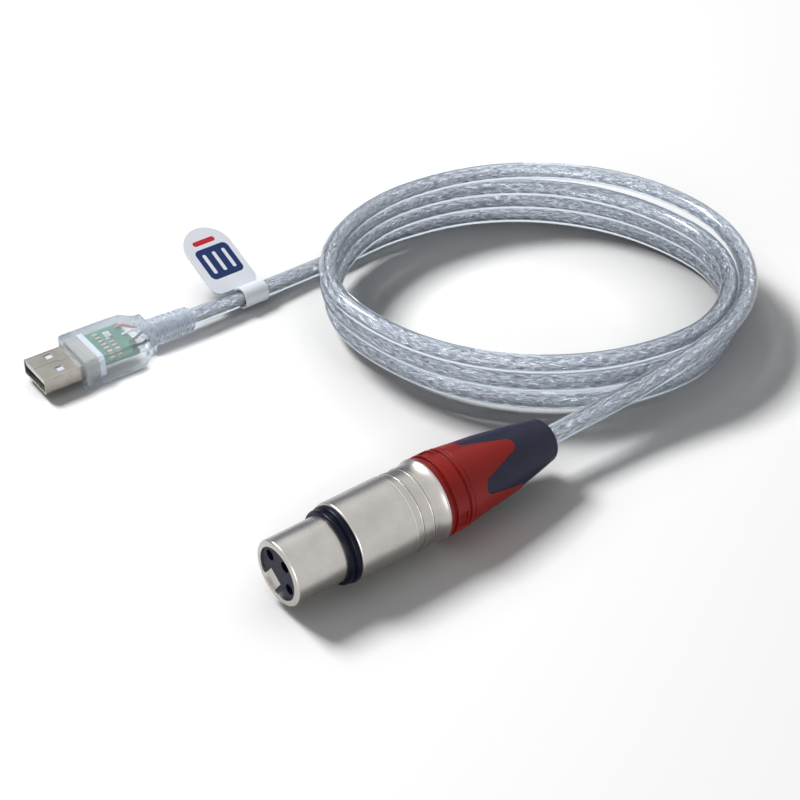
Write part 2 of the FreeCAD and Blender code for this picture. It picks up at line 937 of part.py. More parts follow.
def usb_tongue():
    """White insulator: a tongue in the upper half and a block that closes the shell behind."""
    width = plug_width - 2 * plug_wall
    height = plug_height - 2 * plug_wall
    tongue = rounded_bar(plug_x + tongue_inset, carrier_front, width, height, plug_corner - plug_wall)
    void = box(plug_x, case_front - tongue_block_cover, plug_y - width / 2, plug_y + width / 2,
               plug_z - height / 2, board_bottom)
    return tongue.cut([void] + strips())


def contact_carrier():
    """White block behind the plug's shell, through which the strips pass."""
    carrier = rounded_bar(carrier_front, carrier_back, carrier_width, carrier_height, carrier_corner)
    return carrier.cut(strips())


def s_curve(x0, half0, x1, half1):
    """Two equal tangent arcs from one half width to another, as steps of an outline."""
    steps = []
    middle_x = (x0 + x1) / 2
    middle = (half0 + half1) / 2
    half_turn = math.atan2(abs(half0 - half1), x1 - x0)
    rise = math.hypot(middle_x - x0, half0 - middle) / 2 * math.tan(half_turn / 2)
    lean_x = rise * math.sin(half_turn)
    lean = rise * math.cos(half_turn) * math.copysign(1, half0 - half1)
    steps.append((((x0 + middle_x) / 2 + lean_x, (half0 + middle) / 2 + lean), (middle_x, middle)))
    steps.append((((middle_x + x1) / 2 - lean_x, (middle + half1) / 2 - lean), (x1, half1)))
    return steps


def case_plan():
    """Plan face of the case: square at the plug, drawn in by an S on each side at the cable."""
    half = case_half_width
    neck = case_neck_half_width
    bulge = case_corner * bulge_share
    near = s_curve(case_shoulder, half, case_neck_x, neck)
    (far_arc, far_middle), (neck_arc, neck_end) = near
    return plan_face([
        (case_front, half - case_corner),
        ((case_front + bulge, half - bulge), (case_front + case_corner, half)),
        (case_shoulder, half),
        (far_arc, far_middle),
        (neck_arc, neck_end),
        (case_end, neck),
        (case_end, -neck),
        (case_neck_x, -neck),
        ((neck_arc[0], -neck_arc[1]), (far_middle[0], -far_middle[1])),
        ((far_arc[0], -far_arc[1]), (case_shoulder, -half)),
        (case_front + case_corner, -half),
        ((case_front + bulge, bulge - half), (case_front, case_corner - half)),
    ])


def plan_face(steps):
    """Horizontal face at the plug's mid height from an outline in x and half width."""
    face = Part.Face(outline(steps[0], steps[1:]))
    face.rotate(Vector(), x_axis, -90)
    face.translate(Vector(0, plug_y, plug_z))
    return face


def raised(face, height):
    """Prism of the given height, as far above the face as below it."""
    face.translate(Vector(0, 0, -height / 2))
    return face.extrude(Vector(0, 0, height))


def case_block():
    block = raised(case_plan(), case_height)
    flat = [e for e in block.Edges if e.BoundBox.ZLength < case_round / 2]
    return block.makeFillet(case_round, flat)


def case_cavity():
    """Room for the board, which narrows to the strain relief's inner flange."""
    front = case_front + case_front_wall
    back = case_end - case_rear_wall
    half = case_half_width - case_side_wall
    waist_x = (case_shoulder + case_neck_x) / 2
    waist = (case_half_width + case_neck_half_width) / 2 - case_wall
    return raised(plan_face([
        (front, half),
        (case_shoulder, half),
        (waist_x, waist),
        (back, relief_anchor_radius),
        (back, -relief_anchor_radius),
        (waist_x, -waist),
        (case_shoulder, -half),
        (front, -half),
    ]), case_height - 2 * case_wall)


def board_posts():
    floor = plug_z - case_height / 2 + case_wall / 2
    posts = []
    for x in (carrier_back + post_inset_x, board_end - post_inset_x):
        for side in (-1, 1):
            y = plug_y + side * (board_width / 2 - post_inset_y)
            posts.append(Part.makeCylinder(post_radius, board_bottom - floor, Vector(x, y, floor)))
    return posts


def case_halves():
    """Upper and lower clear shells, parted at mid height, the lower one with four posts."""
    inner_wall = case_end - case_rear_wall
    plug_hole = rounded_bar(case_front - overrun, case_front + case_front_wall + overrun,
                            plug_width, plug_height, plug_corner)
    relief_hole = bar_x(inner_wall, case_end + overrun, relief_neck_radius, plug_y, plug_z)
    flange_room = bar_x(inner_wall - relief_anchor_length, inner_wall, relief_anchor_radius, plug_y, plug_z)
    block = case_block().cut([case_cavity(), plug_hole, relief_hole, flange_room])
    wide = case_half_width + overrun
    upper_room = box(case_front - overrun, case_end + overrun, plug_y - wide, plug_y + wide,
                     plug_z, plug_z + case_height)
    return block.common(upper_room), block.cut(upper_room).fuse(board_posts()).removeSplitter()


def strain_relief():
    """Ribbed clear sleeve, anchored behind the case's rear wall."""
    bore = cable_radius + relief_bore_gap
    inner_wall = case_end - case_rear_wall
    steps = [
        (inner_wall - relief_anchor_length, relief_anchor_radius),
        (inner_wall, relief_anchor_radius),
        (inner_wall, relief_neck_radius),
        (case_end, relief_neck_radius),
    ]
    pitch = (relief_end - case_end) / rib_count
    for i in range(rib_count):
        x = case_end + pitch * i
        radius = relief_front_radius + (relief_end_radius - relief_front_radius) * i / rib_count
        land = x + pitch * rib_land_share
        groove = radius - rib_depth
        steps += [(x, radius), (land, radius), (land, groove), (x + pitch, groove)]
    steps += [(relief_end, bore)]
    sleeve = turned((inner_wall - relief_anchor_length, bore), steps)
    sleeve.translate(Vector(0, plug_y, plug_z))
    return sleeve


def circuit_board():
    half = board_width / 2
    return box(carrier_back, board_end, plug_y - half, plug_y + half, board_bottom, board_top)


def board_part(x, y, length, width, height, low):
    """Block centred at x from the board's front edge and y from its middle line, from low up."""
    cx = carrier_back + x
    cy = plug_y + y
    return box(cx - length / 2, cx + length / 2, cy - width / 2, cy + width / 2, low, low + height)


def controller_chip():
    low = board_bottom - controller_height
    return board_part(controller_x, 0, controller_size, controller_size, controller_height, low)


def line_driver_chip():
    low = board_bottom - driver_height
    return board_part(driver_x, driver_y, driver_length, driver_width, driver_height, low)


def crystal():
    return board_part(crystal_x, crystal_y, crystal_length, crystal_width, crystal_height, board_top)


def chip_parts():
    """Two columns of small parts on the board's top, the second one shorter."""
    return [
        board_part(x, chip_part_y + i * chip_part_pitch, chip_part_length, chip_part_width, chip_part_height,
                   board_top)
        for x, count in zip(chip_part_columns, chip_part_counts)
        for i in range(count)
    ]


def board_wires():
    """Cores from the board's rear pads to the stripped cable end."""
    wires = []
    pad_z = board_top + board_wire_radius
    for i in range(board_wire_count):
        y = plug_y + (i - (board_wire_count - 1) / 2) * board_wire_pitch
        dy, dz = on_circle(180 - 180 * i / (board_wire_count - 1), core_spread)
        start = Vector(plug_strip_x, plug_y + dy, plug_z + dz)
        lead = start - x_axis * board_wire_lead
        rise = Vector(board_end + board_wire_rise, y, pad_z + board_wire_rise)
        pad = Vector(board_end - board_wire_end, y, pad_z)
        wires.append(bent_tube([start, lead, rise, pad], board_wire_radius))
    return wires


# Cable tag

def tag_place(shape):
    """Move a tag piece from the origin to the cable's second run, tipped to its resting angle."""
    before, after = on_plug_axis(plug_straight_x), Vector(*plug_bend)
    run = after - before
    shape.rotate(Vector(), x_axis, tag_angle)
    turn = FreeCAD.Rotation(x_axis, run)
    shape.rotate(Vector(), turn.Axis, math.degrees(turn.Angle))
    shape.translate(before + run * ((tag_x - before.x) / run.x))
    return shape


def tag_ring():
    bore = cable_radius + tag_ring_gap
    half = tag_ring_length / 2
    ring = bar_x(-half, half, bore + tag_ring_wall).cut(bar_x(-half - overrun, half + overrun, bore))
    return tag_place(ring)


def tag_flag():
    """Flat flag with a half round far end and a neck to the ring, which it stands beside."""
    half = tag_width / 2
    corner = tag_near_corner
    bulge = corner * bulge_share
    points = [
        (corner - half, tag_near_edge),
        ((bulge - half, tag_near_edge + bulge), (-half, tag_near_edge + corner)),
        (-half, tag_length - half),
        ((0, tag_length), (half, tag_length - half)),
        (half, tag_near_edge + corner),
        ((half - bulge, tag_near_edge + bulge), (half - corner, tag_near_edge)),
    ]
    face = Part.Face(outline(points[0], points[1:]))
    face.translate(Vector(tag_side_step, 0, 0))
    face.rotate(Vector(), x_axis, -90)
    flag = face.extrude(Vector(0, 0, tag_thickness))
    flag.translate(Vector(0, 0, -tag_thickness / 2))
    neck = tag_ring_length / 2
    ring_radius = cable_radius + tag_ring_gap + tag_ring_wall
    root = box(-neck, neck, cable_radius + tag_ring_gap, tag_near_edge + corner,
               -tag_thickness / 2, tag_thickness / 2).cut(bar_x(-neck, neck, ring_radius))
    return tag_place(flag.fuse(root).removeSplitter())


def save(name, shape):
    if isinstance(shape, list):
        shape = Part.makeCompound(shape)
    shape.exportStep("parts/" + name + ".step")


def main():
    nut = gland_nut()
    coil, coil_start, coil_end = cable_coil()
    case_top, case_bottom = case_halves()
    pieces = {
        "connector_shell": connector_shell(),
        "nose_seal": nose_seal(),
        "contact_insert": contact_insert(),
        "latch_lever": latch_lever(),
        "latch_pin": latch_pin(),
        "latch_spring": latch_spring(),
        "cable_chuck": cable_chuck(),
        "gland_nut": nut,
        "gland_boot": gland_boot(nut),
        "cable_coil": coil,
        "cable_usb_end": cable_usb_end(coil_start),
        "cable_xlr_end": cable_xlr_end(coil_end),
        "usb_shell": plug_placed(usb_shell()),
        "usb_tongue": plug_placed(usb_tongue()),
        "usb_contact_strips": plug_placed(strips()),
        "contact_carrier": plug_placed(contact_carrier()),
        "case_top": plug_placed(case_top),
        "case_bottom": plug_placed(case_bottom),
        "strain_relief": plug_placed(strain_relief()),
        "circuit_board": plug_placed(circuit_board()),
        "controller_chip": plug_placed(controller_chip()),
        "line_driver_chip": plug_placed(line_driver_chip()),
        "crystal": plug_placed(crystal()),
        "chip_parts": plug_placed(chip_parts()),
        "tag_ring": tag_ring(),
        "tag_flag": tag_flag(),
    }
    for i, place in enumerate(contact_places()):
        pieces["contact_%d" % (i + 1)] = contact_socket(place)
    for colour, core, wire in zip(("black", "white", "red"), socket_cores(), board_wires()):
        pieces["socket_core_" + colour] = core
        pieces["board_wire_" + colour] = plug_placed(wire)
    for name, shape in pieces.items():
        save(name, shape)


main()
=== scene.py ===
import math

import bmesh
import bpy
from mathutils import Matrix, Vector


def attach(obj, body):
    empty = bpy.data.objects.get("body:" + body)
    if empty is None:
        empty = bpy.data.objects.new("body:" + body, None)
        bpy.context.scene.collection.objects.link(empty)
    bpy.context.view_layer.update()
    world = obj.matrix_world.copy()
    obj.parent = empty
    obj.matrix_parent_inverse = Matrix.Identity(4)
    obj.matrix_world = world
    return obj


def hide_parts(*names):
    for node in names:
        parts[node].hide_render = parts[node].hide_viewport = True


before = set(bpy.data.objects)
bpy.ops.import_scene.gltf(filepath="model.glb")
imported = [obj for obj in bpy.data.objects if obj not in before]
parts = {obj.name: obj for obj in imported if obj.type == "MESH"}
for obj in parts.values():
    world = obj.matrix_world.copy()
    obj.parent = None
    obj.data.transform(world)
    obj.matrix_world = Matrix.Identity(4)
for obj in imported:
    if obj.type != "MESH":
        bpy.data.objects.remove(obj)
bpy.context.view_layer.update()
mm = 0.001
fullTurn = 2 * math.pi
mergeGap = 0.001 * mm              # corners closer than this are one


def link(obj):
    bpy.context.scene.collection.objects.link(obj)
    return obj


def plugIn(mat, value, socket):
    if isinstance(value, bpy.types.NodeSocket):
        mat.node_tree.links.new(value, socket)
    else:
        socket.default_value = value


def addNode(mat, kind, values=(), **options):
    made = mat.node_tree.nodes.new("ShaderNode" + kind)
    for option, value in options.items():
        setattr(made, option, value)
    for socket, value in dict(values).items():
        plugIn(mat, value, made.inputs[socket])
    return made


def newMaterial(name, values):
    mat = bpy.data.materials.new(name)
    mat.use_nodes = True
    shader = mat.node_tree.nodes["Principled BSDF"]
    for socket, value in values.items():
        plugIn(mat, value, shader.inputs[socket])
    return mat, shader


def combine(mat, kind, first, second):  # one Math step on two values
    return addNode(mat, "Math", {0: first, 1: second}, operation=kind).outputs[0]


def noiseField(mat, where, scale, detail=3.0, roughness=0.5):
    return addNode(mat, "TexNoise", {"Vector": where, "Scale": scale, "Detail": detail,
                                     "Roughness": roughness}).outputs["Fac"]


# Brings a value from one range to another: a noise texture keeps between about 0.3 and 0.7
def spread(mat, value, low, high, fromLow=0.3, fromHigh=0.7):
    return addNode(mat, "MapRange", {"Value": value, "From Min": fromLow, "From Max": fromHigh,
                                     "To Min": low, "To Max": high}).outputs["Result"]


def blendColours(mat, share, first, second):
    mix = addNode(mat, "Mix", data_type="RGBA")
    plugIn(mat, share, mix.inputs[0])
    plugIn(mat, first, mix.inputs[6])  # the two colours come after the numbers' and vectors' sockets
    plugIn(mat, second, mix.inputs[7])
    return mix.outputs[2]


def patchyColour(mat, where, scale, colours):  # drifts between two colours in soft patches
    first, second = colours
    patches = spread(mat, noiseField(mat, where, scale), 0, 1)
    return blendColours(mat, patches, (*first, 1), (*second, 1))


# A plain finish: its colour and gloss drift a little, and a fine grain and soft edges are in its surface
def mouldedLook(name, look, colour=None):
    mat, shader = newMaterial(name, look.get("plain", {}))
    where = addNode(mat, "TexCoord").outputs["Object"]
    if colour is None:
        colour = patchyColour(mat, where, look["patchScale"], look["colours"])
    else:
        colour = colour(mat, where)
    plugIn(mat, colour, shader.inputs["Base Color"])
    grain = noiseField(mat, where, look["grainScale"], 2.0)
    plugIn(mat, spread(mat, grain, *look["roughness"]), shader.inputs["Roughness"])
    soft = addNode(mat, "Bevel", {"Radius": look.get("softEdge", 0.15) * mm}, samples=6)
    grainBump = addNode(mat, "Bump", {"Height": grain, "Distance": look["grainDepth"],
                                      "Strength": look.get("bump", 0.4), "Normal": soft.outputs[0]})
    plugIn(mat, grainBump.outputs["Normal"], shader.inputs["Normal"])
    return mat


# 1 inside a rounded box on a flat pattern, 0 outside
def boxMask(mat, where, centre, half, corner):
    moved = addNode(mat, "VectorMath", {0: where, 1: (*centre, 0)}, operation="SUBTRACT").outputs[0]
    flat = addNode(mat, "VectorMath", {0: moved, 1: (1, 1, 0)}, operation="MULTIPLY").outputs[0]
    folded = addNode(mat, "VectorMath", {0: flat}, operation="ABSOLUTE").outputs[0]
    inner = (half[0] - corner, half[1] - corner, 0)
    past = addNode(mat, "VectorMath", {0: folded, 1: inner}, operation="SUBTRACT").outputs[0]
    past = addNode(mat, "VectorMath", {0: past, 1: (0, 0, 0)}, operation="MAXIMUM").outputs[0]
    reach = addNode(mat, "VectorMath", {0: past}, operation="LENGTH").outputs["Value"]
    return combine(mat, "LESS_THAN", reach, corner)


def giveMaterial(mat, *names):
    for name in names:
        for slot in parts[name].material_slots:
            slot.material = mat


def finishPiece(name, bm, mat, body, replaced=(), smooth=True):
    mesh = bpy.data.meshes.new(name)
    bm.to_mesh(mesh)
    bm.free()
    mesh.materials.append(mat)
    obj = link(bpy.data.objects.new(name, mesh))
    for polygon in mesh.polygons:
        polygon.use_smooth = smooth
    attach(obj, body)
    if replaced:
        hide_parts(*replaced)
    return obj


view = {
    "place": (-0.1556, -0.2442, 0.26345),
    "heading": (0.4907, 0.6322, -0.5996),
    "lens": 80.16,
    "sensor": 36.0,
    "clip": (0.01, 20.0),
}

camera = link(bpy.data.objects.new("camera", bpy.data.cameras.new("camera")))
camera.data.lens = view["lens"]
camera.data.sensor_width = view["sensor"]
camera.data.clip_start, camera.data.clip_end = view["clip"]
camera.location = view["place"]
camera.rotation_euler = Vector(view["heading"]).to_track_quat("-Z", "Y").to_euler()
bpy.context.scene.camera = camera
print("camera set")

plug = {
    "front": (-3.2, 105.0, -5.9),
    "turn": -2.0,                  # degrees about its front
    "caseFront": 7.5,
    "shoulder": 24.4,
    "neckStart": 28.7,
    "caseEnd": 30.2,
    "reliefEnd": 42.8,
    "halfWidth": 7.8,
    "neckHalfWidth": 4.4,
    "halfHeight": 4.3,
    "edge": 1.25,                  # how far in the moulding's soft edges start
}
plugTurn = math.radians(plug["turn"])
plugFrame = (Matrix.Translation(Vector(plug["front"]) * mm) @ Matrix.Rotation(plugTurn, 4, "Z")
             @ Matrix.Scale(mm, 4))


def onPlugAxis(x):  # in millimetres, x counted along the plug's axis
    return plugFrame @ Vector((x - plug["front"][0], 0, 0)) / mm


coil = {
    "centre": (122.8, 53.4),
    "back": (51.9, 9.3, 1.5),      # reach, skew, how far each later turn draws in
    "right": (49.7, 9.4, 1.5),
    "front": (48.8, 6.1, 0.0),
    "left": (54.4, 8.6, -0.8),
    "climb": (0.04, 0.1, 0.16, 1.16),
    "frontLift": 0.13,             # each later turn stands this much of a turn higher at the front
    "pitch": 5.4,
    "lowest": -7.8,
    "quarters": 14,
    "stepsPerQuarter": 4,
    "cornerCut": 0.981,            # the smooth line's radius over its corner points' radius
    "lastRight": (173.0, -0.5),    # the last turn stands out here, and hangs lower
    "firstLeft": (2.4, 3.1, -3.0),  # the first turn sags towards the floor here
    "leaving": (128.9, -0.9, 5.4),
    "leavingSlope": 0.2,
}
cable = {
    "diameter": 4.8 * mm,
    "stripX": 28.4,
    "straightX": 53.0,
    "bend": (76.0, 104.4, -7.0),
    "plugLead": 14.3,
    "socketLead": 15.0,
    "socketRun": ((90.0, 0.0, 0.0), (34.5, 0.0, 0.0)),
    "length": 1.29,
    "sides": 32,
    "step": 1.3 * mm,
}


def coilKnot(number):  # the coil's outermost point on one of its four sides: back, right, front, left
    turn, side = divmod(number, 4)
    reach, skew, drawIn = coil[("back", "right", "front", "left")[side]]
    x, y = coil["centre"]
    lift = coil["frontLift"] * turn * (side == 2)
    z = coil["lowest"] + coil["pitch"] * (turn + coil["climb"][side] + lift)
    out = reach - drawIn * turn
    along, across = ((-skew, out), (out, -skew), (skew, -out), (-out, skew))[side]
    return Vector((x + along, y + across, z))


def coilPoints():
    knots = [coilKnot(i) for i in range(coil["quarters"] + 1)]
    knots[3] += Vector(coil["firstLeft"])
    knots[-2].x = coil["lastRight"][0]
    knots[-2].z += coil["lastRight"][1]
    knots[-1] = Vector(coil["leaving"])
    points = []
    for i in range(coil["quarters"]):
        here, there = knots[i], knots[i + 1]
        middle = Vector((here.x, there.y, 0)) if i % 2 == 0 else Vector((there.x, here.y, 0))
        steps = coil["stepsPerQuarter"] + (i == coil["quarters"] - 1)
        for step in range(steps):
            share = step / coil["stepsPerQuarter"]
            angle = share * fullTurn / 4
            flat = (here - middle) * math.cos(angle) + (there - middle) * math.sin(angle)
            point = middle + flat / coil["cornerCut"]
            point.z = here.z + (there.z - here.z) * share
            points.append(point)
    return points


def routeCorners():  # every corner of the cable's route, in millimetres
    turns = coilPoints()
    beforeCoil = coilKnot(0) - Vector((cable["plugLead"], 0, 0))
    away = Vector((-1, 0, -coil["leavingSlope"])).normalized() * cable["socketLead"]
    straight = [onPlugAxis(cable["stripX"]), onPlugAxis(cable["straightX"])]
    plugSide = straight + [Vector(cable["bend"]), beforeCoil]
    return plugSide + turns + [Vector(coil["leaving"]) + away] + [Vector(p) for p in cable["socketRun"]]


def cableLine():  # the route as one smooth spline, and the points that it gives
    corners = routeCorners()
    curve = bpy.data.curves.new("cable_line", "CURVE")
    curve.dimensions = "3D"
    spline = curve.splines.new("NURBS")
    spline.points.add(len(corners) - 1)
    for point, corner in zip(spline.points, corners):
        point.co = (*(corner * mm), 1)
    spline.order_u = 3
    spline.use_endpoint_u = True
    spline.resolution_u = 12
    holder = link(bpy.data.objects.new("cable_line", curve))
    mesh = bpy.data.meshes.new_from_object(holder)
    points = [v.co.copy() for v in mesh.vertices]
    bpy.data.objects.remove(holder)
    return points


# Places a step apart along a line, each with its distance, heading and two sides that don't twist
def evenStations(points, step):
    lengths = [0.0]
    for a, b in zip(points, points[1:]):
        lengths.append(lengths[-1] + (b - a).length)
    count = max(2, round(lengths[-1] / step))
    places, k = [], 0
    for i in range(count + 1):
        goal = lengths[-1] * i / count
        while k < len(points) - 2 and lengths[k + 1] < goal:
            k += 1
        share = (goal - lengths[k]) / (lengths[k + 1] - lengths[k])
        places.append(points[k].lerp(points[k + 1], share))
    stations, side = [], None
    for i, place in enumerate(places):
        heading = (places[min(i + 1, count)] - places[max(i - 1, 0)]).normalized()
        if side is None:
            side = heading.cross(Vector((0, 0, 1))).normalized()
        side = (side - heading * side.dot(heading)).normalized()
        stations.append((place, heading, side, heading.cross(side), lengths[-1] * i / count))
    return stations


# A grid laid along the stations: each of its points goes where place(station, share across) says
def gridAlong(bm, stations, across, place):
    count = len(stations) - 1
    grid = bmesh.ops.create_grid(bm, x_segments=count, y_segments=across, size=0.5, calc_uvs=True)["verts"]
    for vert in grid:
        vert.co = place(stations[round((vert.co.x + 0.5) * count)], vert.co.y + 0.5)
    return grid


def sweptTube(stations, radius, sides):
    def place(station, share):
        centre, heading, side, up, distance = station
        return centre + (side * math.cos(fullTurn * share) + up * math.sin(fullTurn * share)) * radius

    bm = bmesh.new()
    bm.loops.layers.uv.new("UVMap")
    gridAlong(bm, stations, sides, place)
    bmesh.ops.remove_doubles(bm, verts=bm.verts, dist=mergeGap)
    bmesh.ops.holes_fill(bm, edges=[e for e in bm.edges if e.is_boundary])
    bmesh.ops.recalc_face_normals(bm, faces=bm.faces)
    return bm


braid = {
    "radius": 1.13 * mm,
    "lift": 0.07 * mm,             # how far a carrier rises over those that it crosses
    "turnLength": 38.0 * mm,
    "carriers": 8,                 # each way round
    "width": 0.84 * mm,
    "crown": 0.06 * mm,
    "foilRadius": 1.0 * mm,
    "foilSides": 16,
    "foilStride": 2,               # the foil takes every second station
    "wires": 6,                    # in each carrier
    "uvShift": 31.0,               # between carriers, so that no two have the same streaks
}


# Woven shield: flat carriers that wind both ways round and pass over and under two by two
def braidRibbons(stations):
    lean = math.atan2(fullTurn * braid["radius"], braid["turnLength"])
    count = braid["carriers"]
    length = stations[-1][4] / mm
    bm = bmesh.new()
    uv = bm.loops.layers.uv.new("UVMap")
    for number in range(2 * count):
        way, carrier = (1, number) if number < count else (-1, number - count)

        def place(station, share):
            centre, heading, side, up, distance = station
            wind = fullTurn * distance / braid["turnLength"]
            angle = fullTurn * carrier / count + way * wind
            met = carrier + way * count * 2 * wind / fullTurn
            weave = way * math.cos(math.pi / 2 * (met + carrier) - math.pi / 4)
            out = side * math.cos(angle) + up * math.sin(angle)
            tangent = up * math.cos(angle) - side * math.sin(angle)
            edge = tangent * math.cos(lean) - heading * way * math.sin(lean)
            reach = braid["radius"] + braid["lift"] * weave - (2 * share - 1) ** 2 * braid["crown"]
            return centre + out * reach + edge * (share - 0.5) * braid["width"]

        made = gridAlong(bm, stations, 2, place)
        for face in {f for vert in made for f in vert.link_faces}:
            for loop in face.loops:
                loop[uv].uv.x = loop[uv].uv.x * length + number * braid["uvShift"]
    return bm


linePoints = cableLine()
stations = evenStations(linePoints, cable["step"])
print("cable line: %.3f m, %d stations" % (stations[-1][4], len(stations)))


# Clear plastic, cloudy by its roughness, with a slow ripple in its surface
def clearLook(name, look):
    mat, shader = newMaterial(name, {
        "Base Color": (*look["colour"], 1), "Roughness": look["roughness"], "IOR": look["ior"],
        "Transmission Weight": look["clearness"],
    })
    ripple = noiseField(mat, addNode(mat, "TexCoord").outputs["Object"], look["rippleScale"], 2.0)
    bump = addNode(mat, "Bump", {"Height": ripple, "Distance": look["rippleDepth"],
                                 "Strength": look["rippleShare"]})
    plugIn(mat, bump.outputs["Normal"], shader.inputs["Normal"])
    return mat


clear = clearLook("clear_jacket", {
    "colour": (0.78, 0.85, 0.93), "roughness": 0.03, "ior": 1.45, "clearness": 1.0,
    "rippleScale": 900, "rippleDepth": 0.04 * mm, "rippleShare": 0.25,
})

tinned = {
    "dark": (0.42, 0.44, 0.50),
    # painted glint: white streaks in the colour stand in for highlights on the wires
    "paintedGlint": (1.0, 1.0, 1.0),
    "streakScale": (0.42, 2.4, 1.0),  # along a carrier, across it
    "streakFrom": (0.40, 0.60),    # the part of the noise that goes from dark wire tone to the white painted glints
    "roughness": (0.42, 0.2),      # in the dark streaks and the painted glints
    "streakDepth": 0.16 * mm,
    "wireDepth": 0.05 * mm,
}
silver, silverShader = newMaterial("tinned_braid", {"Metallic": 1.0})
silverUv = addNode(silver, "TexCoord").outputs["UV"]
silverSplit = addNode(silver, "SeparateXYZ", {"Vector": silverUv})
wireWave = combine(silver, "MULTIPLY", silverSplit.outputs["Y"], braid["wires"] * fullTurn)
wireHeight = addNode(silver, "Math", {0: wireWave}, operation="SINE")
streakPlace = addNode(silver, "Mapping", {"Vector": silverUv, "Scale": tinned["streakScale"]})
streaksAndPaintedGlints = noiseField(silver, streakPlace.outputs["Vector"], 1.0, 3.0, 0.6)
# Base colour: the tinned wires' own tone drifts in streaks, and the bright end is white, which is painted
# glints
silverColour = blendColours(silver, spread(silver, streaksAndPaintedGlints, 0, 1, *tinned["streakFrom"]),
                            (*tinned["dark"], 1), (*tinned["paintedGlint"], 1))
plugIn(silver, silverColour, silverShader.inputs["Base Color"])
plugIn(silver, spread(silver, streaksAndPaintedGlints, *tinned["roughness"]), silverShader.inputs["Roughness"])
wireBump = addNode(silver, "Bump", {"Height": wireHeight.outputs[0], "Distance": tinned["wireDepth"],
                                    "Strength": 0.6})
streakBump = addNode(silver, "Bump", {"Height": streaksAndPaintedGlints, "Distance": tinned["streakDepth"], "Strength": 0.9,
                                      "Normal": wireBump.outputs["Normal"]})
plugIn(silver, streakBump.outputs["Normal"], silverShader.inputs["Normal"])

foil = mouldedLook("shield_foil", {
    "plain": {"Metallic": 1.0}, "colours": ((0.40, 0.42, 0.46), (0.66, 0.68, 0.72)), "patchScale": 700,
    "grainScale": 2500, "grainDepth": 0.05 * mm, "roughness": (0.30, 0.5), "bump": 0.6,
})

jacketTube = sweptTube(stations, cable["diameter"] / 2, cable["sides"])
foilTube = sweptTube(stations[::braid["foilStride"]], braid["foilRadius"], braid["foilSides"])
jacket = finishPiece("cable_jacket", jacketTube, clear, "interface",
                     ("cable_coil", "cable_usb_end", "cable_xlr_end"))
finishPiece("cable_braid", braidRibbons(stations), silver, "interface")
finishPiece("cable_foil", foilTube, foil, "interface")
print("cable made")


# The clear moulding round the board: a block whose plan draws in by an S at the cable's end
def caseMoulding():
    size = plug
    length = size["caseEnd"] - size["caseFront"]
    middle = (size["caseEnd"] + size["caseFront"]) / 2 - size["front"][0]
    bm = bmesh.new()
    bmesh.ops.create_cube(bm, size=1.0, matrix=Matrix.Translation((middle, 0, 0)) @ Matrix.Diagonal(
        (length, 2 * size["halfWidth"], 2 * size["halfHeight"], 1)))
    front, end = size["caseFront"] - size["front"][0], size["caseEnd"] - size["front"][0]
    start, stop = size["shoulder"] - size["front"][0], size["neckStart"] - size["front"][0]
    edge = size["edge"]
    quarter = (stop - start) / 4
    cuts = [(0, at) for at in (front + edge, *(start + quarter * i for i in range(5)), end - edge / 2)]
    cuts += [(1, side * (size["halfWidth"] - edge)) for side in (-1, 1)]
    cuts += [(2, side * (size["halfHeight"] - edge)) for side in (-1, 1)]
    for axis, at in cuts:
        along = Vector([float(i == axis) for i in range(3)])
        bmesh.ops.bisect_plane(bm, geom=bm.verts[:] + bm.edges[:] + bm.faces[:], dist=0.0001,
                               plane_co=along * at, plane_no=along)
    for vert in bm.verts:
        share = min(max((vert.co.x - start) / (stop - start), 0), 1)
        drawn = (1 - math.cos(share * math.pi)) / 2
        vert.co.y *= 1 + (size["neckHalfWidth"] / size["halfWidth"] - 1) * drawn
    bmesh.ops.transform(bm, matrix=plugFrame, verts=bm.verts)
    return bm


clearCase = clearLook("clear_case", {
    "colour": (0.62, 0.68, 0.74), "roughness": 0.18, "ior": 1.42, "clearness": 0.70,
    "rippleScale": 260, "rippleDepth": 0.12 * mm, "rippleShare": 0.3,
})
case = finishPiece("case_moulding", caseMoulding(), clearCase, "interface",
                   ("case_top", "case_bottom"))
softer = case.modifiers.new("soft", "SUBSURF")
softer.levels = softer.render_levels = 3
case.visible_shadow = False
print("case made")

shell = {
    "nickel": ((0.45, 0.43, 0.41), (0.53, 0.505, 0.48)),
    "patchScale": 160,
    "steps": (31.7, 33.5, 36.5),   # where the body's rear bands begin
    "lineWidth": 0.16,
    "paintedStepHighlight": (-0.6, (0.80, 0.78, 0.75)),     # painted highlight at each step: its place from the step, in line widths, and its colour
    # painted shade: a dark line at each step, where the step's shade would fall
    "groove": (0.5, (0.13, 0.13, 0.14)),
}


def nickelWithPaintedStepLight(mat, where):  # satin nickel, with a painted highlight and a painted shade line at each rear band's step
    film = patchyColour(mat, where, shell["patchScale"], shell["nickel"])
    along = addNode(mat, "SeparateXYZ", {"Vector": where}).outputs["X"]
    for step in shell["steps"]:
        for shift, colour in (shell["paintedStepHighlight"], shell["groove"]):
            # at each step the first line is a painted highlight, the second painted shade
            line = addNode(mat, "Math", {0: along, 1: (step + shift * shell["lineWidth"]) * mm,
                                         2: shell["lineWidth"] / 2 * mm}, operation="COMPARE").outputs[0]
            film = blendColours(mat, line, film, (*colour, 1))
    return film


